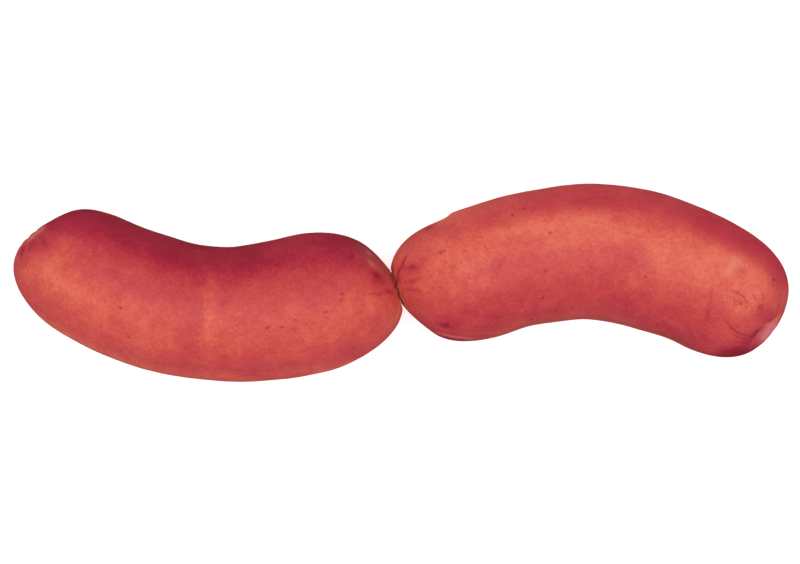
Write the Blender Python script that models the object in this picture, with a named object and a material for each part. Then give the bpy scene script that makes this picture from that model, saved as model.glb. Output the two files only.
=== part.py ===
"""A string of two plump smoked sausage links lying on a flat surface, joined by the twist in their casing.

Metres, +Z up. The string runs along X, and the links bend in the plane of the surface: the left one like a
smile, the right one like an arch. The origin is on the surface, under the middle of the string's box.
"""

import math
import random
from dataclasses import dataclass

import bpy
import numpy as np

# The twist between the links, in plan: its middle, and the heading of the casing's axis through it
TWIST_X, TWIST_Y = -0.0016, -0.0020
TWIST_HEADING = 17.0
TWIST_RADIUS = 0.0042
TWIST_HALF_LENGTH = 0.0016
WAIST = 0.0005  # gap between the two links' ends, where the twist's edge shows
OVERSHOOT = 0.0011  # how much of each end is pressed flat against the other

# How a link lies: its section is a little wider than high, and its underside is pressed flat
SLUMP = 0.97
SINK = 0.0010

# Casing gathered into a twist: a hollow with creases running out of it. A joined end has a pit that holds
# half of the twist. A free end has the flat scar round the nub where the next link was cut off.
PIT_DEPTH = 0.0030
SCAR_DEPTH = 0.0006
NUB_RADIUS = 0.0015
NUB_HEIGHT = 0.0006
CREASE_DEPTH = 0.0006
CREASE_WIDTH = 0.15  # radians round the end
CREASE_REACH = 0.0120  # how far the longest crease runs out from the end's middle

# Slow unevenness of a stuffed casing
LUMP_HEIGHT = 0.0001
LUMP_LENGTH = 0.030

# Rings and faces
RING_POINTS = 60
CAP_RINGS = 13
CAP_CROWDING = 1.35  # over 1 crowds the rings towards the end's middle
BODY_RING_SPACING = 0.0042
POLE_RADIUS = 0.00002
TWIST_RING_POINTS = 42
TWIST_RINGS = 12
FLUTES = 7
FLUTE_DEPTH = 0.09  # share of the twist's radius
FLUTE_TURN = 1.3  # radians that a flute turns over the twist's length


@dataclass
class End:
    """One end of a link. The superellipse that closes it is round at a bluntness of 2 and squarer above."""

    heading: float  # degrees in plan, along the link's middle line from left to right
    cap: float  # length over which the link closes
    bluntness: float
    curl: float  # how far the end's middle rises, as the link curls up off the surface
    pit: float  # radius of the pit or scar in its middle
    creases: int
    seed: int
    joined: bool  # True where the twist holds it to the other link


@dataclass
class Link:
    """One sausage: stations of (x, y, diameter) along its middle line, and its two ends."""

    name: str
    stations: list
    left: End
    right: End
    colour: tuple


def joined_end(side):
    """x and y of a joined end's middle: past the waist's face by the overshoot. side is -1 left, 1 right."""
    reach = side * (WAIST / 2 - OVERSHOOT)
    heading = math.radians(TWIST_HEADING)
    return TWIST_X + reach * math.cos(heading), TWIST_Y + reach * math.sin(heading)


LEFT_LINK = Link(
    name="link_left",
    stations=[
        (-0.1112, 0.0129, 0.0384),
        (-0.1002, 0.0050, 0.0385),
        (-0.0860, -0.0022, 0.0399),
        (-0.0560, -0.0102, 0.0403),
        (-0.0380, -0.0092, 0.0416),
        (-0.0280, -0.0072, 0.0422),
        (-0.0190, -0.0056, 0.0415),
        (*joined_end(-1), 0.0408),
    ],
    left=End(-49, 0.0235, 2.33, 0.0034, 0.0042, 11, 3, False),
    right=End(TWIST_HEADING + 7, 0.0265, 2.05, 0.0, 0.0052, 12, 8, True),
    colour=(0.56, 0.085, 0.055, 1.0),
)
RIGHT_LINK = Link(
    name="link_right",
    stations=[
        (*joined_end(1), 0.0392),
        (0.0090, 0.0000, 0.0398),
        (0.0170, 0.0005, 0.0403),
        (0.0300, 0.0043, 0.0397),
        (0.0420, 0.0070, 0.0401),
        (0.0570, 0.0084, 0.0409),
        (0.0780, 0.0045, 0.0409),
        (0.0940, -0.0024, 0.0396),
        (0.1109, -0.0141, 0.0390),
    ],
    left=End(TWIST_HEADING + 2, 0.0295, 2.08, 0.0, 0.0052, 10, 21, True),
    right=End(-35, 0.0245, 2.74, 0.0047, 0.0046, 12, 34, False),
    colour=(0.62, 0.105, 0.06, 1.0),
)
TWIST_COLOUR = (0.42, 0.06, 0.045, 1.0)


def cubic_through(knots, values, at, start_slope, end_slope):
    """The cubic spline through values at the knots, with these slopes at its ends, read at the places at."""
    count, gaps = len(knots), np.diff(knots)
    rises = np.diff(values, axis=0) / gaps[:, None]
    system, wanted = np.eye(count), np.zeros_like(values)
    wanted[0], wanted[-1] = start_slope, end_slope
    for i in range(1, count - 1):
        before, after = gaps[i - 1], gaps[i]
        system[i, i - 1 : i + 2] = after, 2 * (before + after), before
        wanted[i] = 3 * (after * rises[i - 1] + before * rises[i])
    slopes = np.linalg.solve(system, wanted)
    i = np.clip(np.searchsorted(knots, at, side="right") - 1, 0, count - 2)
    gap = gaps[i][:, None]
    u = (at - knots[i])[:, None] / gap
    return (
        (1 + 2 * u) * (1 - u) ** 2 * values[i]
        + u * (1 - u) ** 2 * gap * slopes[i]
        + u**2 * (3 - 2 * u) * values[i + 1]
        + u**2 * (u - 1) * gap * slopes[i + 1]
    )


def unit(vectors):
    """The same vectors, one metre long."""
    return vectors / np.linalg.norm(vectors, axis=-1, keepdims=True)


def middle_line(link):
    """Distances along a link's middle line, with its points in plan and its diameters there."""
    stations = np.array(link.stations)
    steps = np.hypot(*np.diff(stations[:, :2], axis=0).T)
    knots = np.concatenate([[0.0], np.cumsum(steps)])
    headings = [math.radians(end.heading) for end in (link.left, link.right)]
    slopes = [(math.cos(heading), math.sin(heading), 0.0) for heading in headings]
    line = cubic_through(knots, stations, np.linspace(0.0, knots[-1], 1500), *slopes)
    steps = np.hypot(*np.diff(line[:, :2], axis=0).T)
    return np.concatenate([[0.0], np.cumsum(steps)]), line


def cap_rings(end):
    """Distances in from an end, and shares of the link's radius there, for the rings that close it."""
    turn = math.pi / 2 * np.linspace(0.0, 1.0, CAP_RINGS) ** CAP_CROWDING
    power = 2 / end.bluntness
    return end.cap * (1 - np.cos(turn) ** power), np.sin(turn) ** power


def rings_of(link, length):
    """Where the rings lie along the middle line, and the share of the link's radius that each has."""
    left_at, left_share = cap_rings(link.left)
    right_at, right_share = cap_rings(link.right)
    body = length - link.left.cap - link.right.cap
    count = round(body / BODY_RING_SPACING)
    body_at = link.left.cap + body * np.arange(1, count) / count
    at = np.concatenate([left_at, body_at, length - right_at[::-1]])
    share = np.concatenate([left_share, np.ones(count - 1), right_share[::-1]])
    return at, share


def tube(centres, tangents, radii, points, squash):
    """A grid of rings, grid[ring, place], each square to its tangent. Places run from +Y over the top."""
    side = unit(np.cross((0.0, 0.0, 1.0), tangents))
    up = np.cross(tangents, side)
    angle = 2 * math.pi * np.arange(points) / points
    round_ring = side[:, None] * np.cos(angle)[:, None] + up[:, None] * np.sin(angle)[:, None] * squash
    return centres[:, None] + radii[..., None] * round_ring, angle


def normals_of(grid):
    """Outward unit normals of a grid of rings."""
    along = np.gradient(grid, axis=0)
    around = np.roll(grid, -1, axis=1) - np.roll(grid, 1, axis=1)
    return unit(np.cross(around, along))


def pressed(distance, overlap):
    """Distances from a flat face that a rounded form is pressed into by overlap: flat, with a soft edge."""
    share = np.clip(distance / overlap + 0.5, 0.0, 1.0)
    return np.where(distance < overlap / 2, overlap / 2 * share**2, distance)


def fade(distance, start, stop):
    """1 up to start, 0 from stop on, and smooth between them."""
    share = np.clip((stop - distance) / (stop - start), 0.0, 1.0)
    return share * share * (3 - 2 * share)


def gathers(end, radius, angle):
    """Depth of the creases that run out of an end's twist, at this radius from its middle."""
    draw = random.Random(end.seed)
    depth = np.zeros(np.broadcast(radius, angle).shape)
    for k in range(end.creases):
        place = 2 * math.pi * (k + draw.uniform(-0.28, 0.28)) / end.creases
        reach = CREASE_REACH * draw.uniform(0.62, 1.0)
        size = CREASE_DEPTH * draw.uniform(0.5, 1.0)
        away = (angle - place + math.pi) % (2 * math.pi) - math.pi
        along = fade(radius, end.pit, reach) * (1 - fade(radius, 0.3 * end.pit, end.pit))
        depth += size * np.exp(-((away / CREASE_WIDTH) ** 2)) * along
    return depth


def pit(end, radius):
    """Depth of the pit in the middle of an end. In a free one stands the nub where its casing was cut."""
    if end.joined:
        return PIT_DEPTH * np.clip(1 - (radius / end.pit) ** 4, 0.0, 1.0)
    nub = NUB_HEIGHT * np.clip(1 - (radius / NUB_RADIUS) ** 2, 0.0, 1.0)
    return SCAR_DEPTH * fade(radius, 0.4 * end.pit, 1.2 * end.pit) - nub


def lumps(at, angle):
    """Slow swelling and sinking of the stuffed casing."""
    wave = 2 * math.pi * at / LUMP_LENGTH
    slow = 0.6 * np.sin(0.9 * wave + 2 * angle) + 0.4 * np.cos(0.5 * wave + angle)
    return LUMP_HEIGHT * (slow + 0.5 * np.sin(1.7 * wave - 3 * angle))


def link_grid(link):
    """The rings of one link, with its gathered ends, pressed on to the surface and against its neighbour."""
    distance, line = middle_line(link)
    length = distance[-1]
    at, share = rings_of(link, length)
    plan = np.stack([np.interp(at, distance, line[:, k]) for k in range(3)], axis=1)
    body_radius = plan[:, 2] / 2
    rise = link.left.curl * np.clip(1 - at / link.left.cap, 0.0, 1.0) ** 2
    rise += link.right.curl * np.clip(1 - (length - at) / link.right.cap, 0.0, 1.0) ** 2
    centres = np.column_stack([plan[:, :2], SLUMP * body_radius - SINK + rise])
    tangents = unit(np.gradient(centres, at, axis=0))
    radii = np.maximum(body_radius * share, POLE_RADIUS)[:, None]
    grid, angle = tube(centres, tangents, radii, RING_POINTS, SLUMP)
    height = lumps(at[:, None], angle) * share[:, None]
    for end, near in ((link.left, at < length / 2), (link.right, at >= length / 2)):
        dent = gathers(end, radii[near], angle) + pit(end, radii[near])
        height[near] -= dent
    grid += normals_of(grid) * height[..., None]
    press_against_neighbour(grid, link)
    grid[..., 2] = pressed(grid[..., 2], SINK)
    return grid


def press_against_neighbour(grid, link):
    """Flattens a link's joined end along the waist's face."""
    heading = math.radians(TWIST_HEADING)
    side = 1.0 if link.left.joined else -1.0
    out = -side * np.array([math.cos(heading), math.sin(heading), 0.0])
    offset = grid - np.array([TWIST_X, TWIST_Y, 0.0])
    distance = -(offset @ out) - WAIST / 2
    grid += out * (distance - pressed(distance, OVERSHOOT))[..., None]


def twist_grid():
    """The rings of the twist: a short fluted form whose folds wind round its axis."""
    heading = math.radians(TWIST_HEADING)
    axis = np.array([math.cos(heading), math.sin(heading), 0.0])
    turn = math.pi * np.arange(TWIST_RINGS + 1) / TWIST_RINGS
    along = -TWIST_HALF_LENGTH * np.cos(turn)
    middle = np.array([TWIST_X, TWIST_Y, twist_height()])
    angle = 2 * math.pi * np.arange(TWIST_RING_POINTS) / TWIST_RING_POINTS
    winding = FLUTES * (angle + FLUTE_TURN * along[:, None] / (2 * TWIST_HALF_LENGTH))
    flute = 1 - FLUTE_DEPTH * (1 - np.abs(np.cos(winding / 2)))
    radii = np.maximum(TWIST_RADIUS * np.sin(turn)[:, None] * flute, POLE_RADIUS)
    tangents = np.tile(axis, (len(along), 1))
    grid, _ = tube(middle + along[:, None] * axis, tangents, radii, TWIST_RING_POINTS, 1.0)
    return grid


def twist_height():
    """Height of the twist's axis: midway between the middles of the two ends that it joins."""
    ends = (LEFT_LINK.stations[-1][2], RIGHT_LINK.stations[0][2])
    return SLUMP * sum(ends) / 4 - SINK


def closed_mesh(name, grid):
    """A closed mesh over a grid of rings, whose first and last rings shrink to one point each."""
    rings, places = grid.shape[:2]
    inner = grid[1:-1]
    points = np.concatenate([[grid[0].mean(axis=0)], inner.reshape(-1, 3), [grid[-1].mean(axis=0)]])
    first, last = 0, len(points) - 1
    faces = []
    for j in range(places):
        after = (j + 1) % places
        faces.append((first, 1 + after, 1 + j))
        for i in range(rings - 3):
            row, above = 1 + i * places, 1 + (i + 1) * places
            faces.append((row + j, row + after, above + after, above + j))
        row = 1 + (rings - 3) * places
        faces.append((last, row + j, row + after))
    mesh = bpy.data.meshes.new(name)
    mesh.from_pydata(points.tolist(), [], faces)
    mesh.validate()
    mesh.shade_smooth()
    return mesh


def casing_material(name, colour, roughness):
    """Plain casing: a Principled surface of one colour."""
    material = bpy.data.materials.new(name)
    material.use_nodes = True
    surface = material.node_tree.nodes["Principled BSDF"]
    surface.inputs["Base Color"].default_value = colour
    surface.inputs["Roughness"].default_value = roughness
    surface.inputs["Metallic"].default_value = 0.0
    material.diffuse_color = colour
    return material


def add_object(name, grid, colour, roughness, parent):
    """One sub-part as an object, with its origin in the middle of its box and its own material."""
    middle = (grid.min(axis=(0, 1)) + grid.max(axis=(0, 1))) / 2
    mesh = closed_mesh(name, grid - middle)
    mesh.materials.append(casing_material(name + "_casing", colour, roughness))
    obj = bpy.data.objects.new(name, mesh)
    obj.location = middle
    obj.parent = parent
    bpy.context.scene.collection.objects.link(obj)
    return obj


def clear_scene():
    """Removes whatever the scene holds."""
    for obj in list(bpy.data.objects):
        bpy.data.objects.remove(obj, do_unlink=True)


def main():
    clear_scene()
    string = bpy.data.objects.new("string", None)
    bpy.context.scene.collection.objects.link(string)
    grids = {link.name: link_grid(link) for link in (LEFT_LINK, RIGHT_LINK)}
    corners = np.concatenate([grid.reshape(-1, 3) for grid in grids.values()])
    middle = (corners.min(axis=0) + corners.max(axis=0)) / 2
    string.location = (-middle[0], -middle[1], 0.0)
    for link in (LEFT_LINK, RIGHT_LINK):
        add_object(link.name, grids[link.name], link.colour, 0.38, string)
    add_object("casing_twist", twist_grid(), TWIST_COLOUR, 0.5, string)


main()
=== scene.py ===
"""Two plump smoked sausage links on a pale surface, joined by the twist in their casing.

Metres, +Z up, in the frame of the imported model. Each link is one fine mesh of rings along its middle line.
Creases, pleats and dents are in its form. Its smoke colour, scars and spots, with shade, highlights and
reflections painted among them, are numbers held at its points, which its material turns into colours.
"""

import math
import random
from dataclasses import dataclass

import bpy
import numpy as np
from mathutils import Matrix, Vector


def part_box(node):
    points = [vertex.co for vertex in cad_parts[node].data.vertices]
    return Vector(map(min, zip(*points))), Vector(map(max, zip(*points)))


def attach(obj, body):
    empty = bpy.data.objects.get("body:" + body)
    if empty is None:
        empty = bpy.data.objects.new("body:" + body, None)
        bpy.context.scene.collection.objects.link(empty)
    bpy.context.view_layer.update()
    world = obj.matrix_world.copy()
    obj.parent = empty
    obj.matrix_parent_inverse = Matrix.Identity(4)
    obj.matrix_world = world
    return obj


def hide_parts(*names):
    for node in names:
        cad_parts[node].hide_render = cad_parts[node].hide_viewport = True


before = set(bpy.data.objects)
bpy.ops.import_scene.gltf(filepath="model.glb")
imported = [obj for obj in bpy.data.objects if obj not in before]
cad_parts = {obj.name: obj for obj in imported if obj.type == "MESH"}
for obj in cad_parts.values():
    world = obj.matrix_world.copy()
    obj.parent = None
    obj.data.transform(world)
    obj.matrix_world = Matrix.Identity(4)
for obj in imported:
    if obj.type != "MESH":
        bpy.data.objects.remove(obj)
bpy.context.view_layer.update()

MM = 0.001

# The twist between the links, in plan: its middle, and the heading of the casing's axis through it
TWIST_X, TWIST_Y = -0.0016, -0.0020
TWIST_HEADING = 17.0
TWIST_RADIUS = 0.0046
TWIST_HALF_LENGTH = 0.0016
WAIST = 0.0005  # width of the waist between the two packed links
OVERSHOOT = 0.0013  # how far an end would reach past its face of the waist if it weren't pressed flat
SEAM = 0.00002  # what still shows between the two pressed ends
PRESS_EDGE = 0.0004  # how softly a pressed end meets the waist

# How a link lies: its section is a little wider than high, and its underside is pressed flat
SLUMP = 0.97
SINK = 0.0010

# Casing gathered into a twist
PIT_DEPTH = 0.0030
SCAR_DEPTH = 0.0004
NUB_RADIUS = 0.0012
NUB_HEIGHT = 0.0003
CREASE_DEPTH = 0.0003
CREASE_WIDTH = 0.15  # radians round the end
CREASE_REACH = 0.0120
CREASE_SPREAD = 0.28  # how unevenly they are spaced, as a share of the mean spacing
PLEAT_DEPTH = 0.0001
PLEAT_WIDTH = 0.045  # radians round the end
PLEAT_REACH = 0.0085
PLEAT_SPREAD = 0.45
SHORTEST = 0.62  # reach of the shortest crease or pleat, as a share of the longest's
SHALLOWEST = 0.5  # depth of the shallowest, as a share of the deepest's
RIM_REACH = 1.4  # every one reaches this many radii of the pit at least
PIT_FLOOR = 0.3  # share of the pit's radius that stays smooth
SCAR_EDGE = (0.4, 1.2)  # where the scar's dish starts and stops rising, in radii of the pit

# How much deeper than their depth the pleats and the marks count where painted shade darkens the casing in
# its folds
PLEAT_SHADE = 2
MARK_SHADE = 4

# Slow unevenness of a stuffed casing, and the finer one over it
LUMP_HEIGHT = 0.0001
LUMP_LENGTH = 0.030
SWELL_HEIGHT = 0.00005
SWELL_SIZE = 0.009
RIPPLE_HEIGHT = 0.00004
RIPPLE_SIZE = 0.0034

# Noise: how many random values it draws, and the primes that pick one for each cell
NOISE_VALUES = 8192
NOISE_PRIMES = (73856093, 19349663, 83492791)

# Rings and their points
LINE_POINTS = 1500  # samples of a middle line
RING_POINTS = 320
RING_SAMPLES = 4001  # samples round a ring, from which its points are picked
TOP_CROWDING = 0.5  # how far the points crowd towards the top, where the finest creases are
CAP_CROWDING = 1.12  # how far the rings crowd towards an end's tip
POLE_RADIUS = 0.00002  # of the ring at a tip
TWIST_RING_POINTS = 168
TWIST_RINGS = 60

# The folds that wind round the twist
FLUTES = 7
FLUTE_DEPTH = 0.09  # share of its radius
FLUTE_TURN = 1.3  # radians from one end of it to the other


@dataclass
class End:
    """One end of a link. The superellipse that closes it is round at a bluntness of 2 and squarer above."""

    heading: float  # of the middle line there, in degrees
    cap: float  # length of the part that closes it
    bluntness: float
    curl: float  # how far its tip lifts
    pit: float  # radius of the pit in its middle
    creases: int
    pleats: int
    seed: int
    joined: bool
    rings: int  # how many rings close it


@dataclass
class Link:
    """One sausage: stations of (x, y, diameter) along its middle line, and its two ends."""

    name: str
    stations: list
    left: End
    right: End
    spacing: float  # between the rings of its body


def joined_end(side):
    """x and y of a joined end's middle: past the waist's face by the overshoot. side is -1 left, 1 right."""
    reach = side * (WAIST / 2 - OVERSHOOT)
    heading = math.radians(TWIST_HEADING)
    return TWIST_X + reach * math.cos(heading), TWIST_Y + reach * math.sin(heading)


LEFT_LINK = Link(
    name="link_left",
    stations=[
        (-0.1112, 0.0129, 0.0384),
        (-0.1002, 0.0050, 0.0385),
        (-0.0860, -0.0022, 0.0399),
        (-0.0560, -0.0102, 0.0403),
        (-0.0380, -0.0092, 0.0416),
        (-0.0280, -0.0072, 0.0422),
        (-0.0190, -0.0056, 0.0415),
        (*joined_end(-1), 0.0408),
    ],
    left=End(
        heading=-49,
        cap=0.0235,
        bluntness=2.33,
        curl=0.0034,
        pit=0.0042,
        creases=11,
        pleats=0,
        seed=3,
        joined=False,
        rings=92,
    ),
    right=End(
        heading=TWIST_HEADING + 7,
        cap=0.0265,
        bluntness=2.05,
        curl=0.0,
        pit=0.0052,
        creases=12,
        pleats=30,
        seed=8,
        joined=True,
        rings=88,
    ),
    spacing=0.00056,
)
RIGHT_LINK = Link(
    name="link_right",
    stations=[
        (*joined_end(1), 0.0392),
        (0.0090, 0.0000, 0.0398),
        (0.0170, 0.0005, 0.0403),
        (0.0300, 0.0043, 0.0397),
        (0.0420, 0.0070, 0.0401),
        (0.0570, 0.0084, 0.0409),
        (0.0780, 0.0045, 0.0409),
        (0.0940, -0.0024, 0.0396),
        (0.1109, -0.0141, 0.0390),
    ],
    left=End(
        heading=TWIST_HEADING + 2,
        cap=0.0295,
        bluntness=2.08,
        curl=0.0,
        pit=0.0052,
        creases=10,
        pleats=30,
        seed=21,
        joined=True,
        rings=80,
    ),
    right=End(
        heading=-35,
        cap=0.0245,
        bluntness=2.74,
        curl=0.0047,
        pit=0.0046,
        creases=12,
        pleats=0,
        seed=34,
        joined=False,
        rings=118,
    ),
    spacing=0.00060,
)


# Form


def cubic_through(knots, values, at, start_slope, end_slope):
    """Cubic spline through values at the knots, with these slopes at its ends, read at the places at."""
    count, gaps = len(knots), np.diff(knots)
    rises = np.diff(values, axis=0) / gaps[:, None]
    system, wanted = np.eye(count), np.zeros_like(values)
    wanted[0], wanted[-1] = start_slope, end_slope
    for i in range(1, count - 1):
        before, after = gaps[i - 1], gaps[i]
        system[i, i - 1 : i + 2] = after, 2 * (before + after), before
        wanted[i] = 3 * (after * rises[i - 1] + before * rises[i])
    slopes = np.linalg.solve(system, wanted)
    i = np.clip(np.searchsorted(knots, at, side="right") - 1, 0, count - 2)
    gap = gaps[i][:, None]
    u = (at - knots[i])[:, None] / gap
    return (
        (1 + 2 * u) * (1 - u) ** 2 * values[i]
        + u * (1 - u) ** 2 * gap * slopes[i]
        + u**2 * (3 - 2 * u) * values[i + 1]
        + u**2 * (u - 1) * gap * slopes[i + 1]
    )


def unit(vectors):
    """The same vectors, one metre long."""
    return vectors / np.linalg.norm(vectors, axis=-1, keepdims=True)


def middle_line(link):
    """Distances along a link's middle line, with its points in plan and its diameters there."""
    stations = np.array(link.stations)
    steps = np.hypot(*np.diff(stations[:, :2], axis=0).T)
    knots = np.concatenate([[0.0], np.cumsum(steps)])
    headings = [math.radians(end.heading) for end in (link.left, link.right)]
    slopes = [(math.cos(heading), math.sin(heading), 0.0) for heading in headings]
    line = cubic_through(knots, stations, np.linspace(0.0, knots[-1], LINE_POINTS), *slopes)
    steps = np.hypot(*np.diff(line[:, :2], axis=0).T)
    return np.concatenate([[0.0], np.cumsum(steps)]), line


def cap_rings(end):
    """Distances in from an end, and shares of the link's radius there, for the rings that close it."""
    turn = math.pi / 2 * np.linspace(0.0, 1.0, end.rings) ** CAP_CROWDING
    power = 2 / end.bluntness
    return end.cap * (1 - np.cos(turn) ** power), np.sin(turn) ** power


def rings_of(link, length):
    """Where the rings lie along the middle line, and the share of the link's radius that each has."""
    left_at, left_share = cap_rings(link.left)
    right_at, right_share = cap_rings(link.right)
    body = length - link.left.cap - link.right.cap
    count = round(body / link.spacing)
    body_at = link.left.cap + body * np.arange(1, count) / count
    at = np.concatenate([left_at, body_at, length - right_at[::-1]])
    share = np.concatenate([left_share, np.ones(count - 1), right_share[::-1]])
    return at, share


def places(points):
    """Angles round a ring, from +Y over the top, crowded towards the top."""
    angle = np.linspace(0.0, 2 * math.pi, RING_SAMPLES)
    passed = (angle + TOP_CROWDING * (1 - np.cos(angle))) / (2 * math.pi)
    return np.interp(np.arange(points) / points, passed, angle)


def tube(centres, tangents, radii, angle, squash):
    """A grid of rings, grid[ring, place], each square to its tangent."""
    side = unit(np.cross((0.0, 0.0, 1.0), tangents))
    up = np.cross(tangents, side)
    round_ring = side[:, None] * np.cos(angle)[:, None] + up[:, None] * np.sin(angle)[:, None] * squash
    return centres[:, None] + radii[..., None] * round_ring


def normals_of(grid):
    """Outward unit normals of a grid of rings."""
    along = np.gradient(grid, axis=0)
    around = np.roll(grid, -1, axis=1) - np.roll(grid, 1, axis=1)
    return unit(np.cross(around, along))


def pressed(distance, overlap):
    """Distances from a flat face that a rounded form is pressed into by overlap: flat, with a soft edge."""
    share = np.clip(distance / overlap + 0.5, 0.0, 1.0)
    return np.where(distance < overlap / 2, overlap / 2 * share**2, distance)


def fade(distance, start, stop):
    """1 up to start, 0 from stop on, and smooth between them."""
    share = np.clip((stop - distance) / (stop - start), 0.0, 1.0)
    return share * share * (3 - 2 * share)


def rise(value, start, stop):
    """0 up to start, 1 from stop on, and smooth between them."""
    return 1 - fade(value, start, stop)


def noise(points, size, seed):
    """Smooth random values from -1 to 1 at these points, with features of about this size."""
    table = np.random.default_rng(seed).random(NOISE_VALUES) * 2 - 1
    cell = np.floor(points / size).astype(np.int64)
    part = points / size - cell
    part = part * part * (3 - 2 * part)
    total = np.zeros(points.shape[:-1])
    for corner in np.ndindex(2, 2, 2):
        x, y, z = ((cell[..., k] + corner[k]) * NOISE_PRIMES[k] for k in range(3))
        value = table[(x ^ y ^ z) & (NOISE_VALUES - 1)]
        weight = 1.0
        for k in range(3):
            weight = weight * (part[..., k] if corner[k] else 1 - part[..., k])
        total += weight * value
    return total


def radial(end, radius, angle, count, seed, spread, reach_limit, depth_limit, width):
    """Depth of the creases that run out of an end's twist, at this radius from its middle."""
    draw = random.Random(seed)
    depth = np.zeros(np.broadcast(radius, angle).shape)
    for k in range(count):
        place = 2 * math.pi * (k + draw.uniform(-spread, spread)) / count
        reach = max(reach_limit * draw.uniform(SHORTEST, 1.0), RIM_REACH * end.pit)
        size = depth_limit * draw.uniform(SHALLOWEST, 1.0)
        away = (angle - place + math.pi) % (2 * math.pi) - math.pi
        along = fade(radius, end.pit, reach) * rise(radius, PIT_FLOOR * end.pit, end.pit)
        depth += size * np.exp(-((away / width) ** 2)) * along
    return depth


def gathers(end, radius, angle):
    """Depth of an end's creases, and of the fine pleats between them."""
    crease = (CREASE_SPREAD, CREASE_REACH, CREASE_DEPTH, CREASE_WIDTH)
    pleat = (PLEAT_SPREAD, PLEAT_REACH, PLEAT_DEPTH, PLEAT_WIDTH)
    wide = radial(end, radius, angle, end.creases, end.seed, *crease)
    fine = radial(end, radius, angle, end.pleats, end.seed + 1, *pleat)
    return wide, fine


def pit(end, radius):
    """Depth of the pit in the middle of an end. In a free one stands the nub where its casing was cut."""
    if end.joined:
        return PIT_DEPTH * np.clip(1 - (radius / end.pit) ** 4, 0.0, 1.0)
    nub = NUB_HEIGHT * np.clip(1 - (radius / NUB_RADIUS) ** 2, 0.0, 1.0)
    start, stop = (share * end.pit for share in SCAR_EDGE)
    return SCAR_DEPTH * fade(radius, start, stop) - nub


def lumps(at, angle):
    """Slow swelling and sinking of the stuffed casing."""
    wave = 2 * math.pi * at / LUMP_LENGTH
    slow = 0.6 * np.sin(0.9 * wave + 2 * angle) + 0.4 * np.cos(0.5 * wave + angle)
    return LUMP_HEIGHT * (slow + 0.5 * np.sin(1.7 * wave - 3 * angle))


def press_against_neighbour(grid, link):
    """Flattens a link's joined end along the waist's face."""
    heading = math.radians(TWIST_HEADING)
    side = 1.0 if link.left.joined else -1.0
    out = -side * np.array([math.cos(heading), math.sin(heading), 0.0])
    offset = grid - np.array([TWIST_X, TWIST_Y, 0.0])
    distance = -(offset @ out) - SEAM / 2
    grid += out * (distance - pressed(distance, PRESS_EDGE))[..., None]


@dataclass
class Surface:
    """A link's points, with where each one is on the link."""

    points: np.ndarray
    up: np.ndarray  # how far its normal points up, from -1 to 1
    across: np.ndarray  # from -1 at the -Y side to 1 at the +Y side, as a share of the radius
    # painted shade: this depth sets how far the casing is darkened in its creases, pleats and dents
    folds: np.ndarray  # depth of the creases, as far as it darkens the casing


def link_surface(link, marks):
    """A link's rings, with its gathered ends and its marks, pressed on to the surface and its neighbour."""
    distance, line = middle_line(link)
    length = distance[-1]
    at, share = rings_of(link, length)
    plan = np.stack([np.interp(at, distance, line[:, k]) for k in range(3)], axis=1)
    body_radius = plan[:, 2] / 2
    curl = link.left.curl * np.clip(1 - at / link.left.cap, 0.0, 1.0) ** 2
    curl += link.right.curl * np.clip(1 - (length - at) / link.right.cap, 0.0, 1.0) ** 2
    centres = np.column_stack([plan[:, :2], SLUMP * body_radius - SINK + curl])
    tangents = unit(np.gradient(centres, at, axis=0))
    radii = np.maximum(body_radius * share, POLE_RADIUS)[:, None]
    angle = places(RING_POINTS)
    grid = tube(centres, tangents, radii, angle, SLUMP)
    height = lumps(at[:, None], angle) * share[:, None]
    height += SWELL_HEIGHT * noise(grid, SWELL_SIZE, link.left.seed) * share[:, None]
    height += RIPPLE_HEIGHT * noise(grid, RIPPLE_SIZE, link.right.seed) * share[:, None]
    folds = np.zeros_like(height)
    for end, near in ((link.left, at < length / 2), (link.right, at >= length / 2)):
        wide, fine = gathers(end, radii[near], angle)
        height[near] -= wide + fine + pit(end, radii[near])
        folds[near] += wide + PLEAT_SHADE * fine
    normals = normals_of(grid)
    depth = marks(grid, normals)
    grid += normals * (height - depth)[..., None]
    folds += MARK_SHADE * np.maximum(depth, 0.0)
    press_against_neighbour(grid, link)
    grid[..., 2] = pressed(grid[..., 2], SINK)
    return Surface(
        points=grid,
        up=normals_of(grid)[..., 2],
        across=np.cos(angle) * share[:, None],
        folds=folds,
    )


def twist_height():
    """Height of the twist's axis: midway between the middles of the two ends that it joins."""
    ends = (LEFT_LINK.stations[-1][2], RIGHT_LINK.stations[0][2])
    return SLUMP * sum(ends) / 4 - SINK


def twist_grid():
    """The rings of the twist: a short fluted form whose folds wind round its axis."""
    heading = math.radians(TWIST_HEADING)
    axis = np.array([math.cos(heading), math.sin(heading), 0.0])
    turn = math.pi * np.arange(TWIST_RINGS + 1) / TWIST_RINGS
    along = -TWIST_HALF_LENGTH * np.cos(turn)
    middle = np.array([TWIST_X, TWIST_Y, twist_height()])
    angle = 2 * math.pi * np.arange(TWIST_RING_POINTS) / TWIST_RING_POINTS
    winding = FLUTES * (angle + FLUTE_TURN * along[:, None] / (2 * TWIST_HALF_LENGTH))
    flute = 1 - FLUTE_DEPTH * (1 - np.abs(np.cos(winding / 2)))
    radii = np.maximum(TWIST_RADIUS * np.sin(turn)[:, None] * flute, POLE_RADIUS)
    tangents = np.tile(axis, (len(along), 1))
    return tube(middle + along[:, None] * axis, tangents, radii, angle, 1.0)


# Marks on the casing. Places are millimetres in plan, at the height of the links' middle line and seen from
# 0.9 m above it.

EYE_HEIGHT = 0.92
MIDDLE_HEIGHT = 0.02
TOP_FROM, TOP_TO = 0.05, 0.35  # how far a normal points up where a mark fades in
WANDER = 0.25  # how far a crease strays from its line, in mm
WANDER_SIZE = 0.0025
WANDER_SEEDS = (5, 6)
TAPER_TIP, TAPER_POWER = 0.03, 0.6  # how a stroke thins out towards its ends


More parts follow.
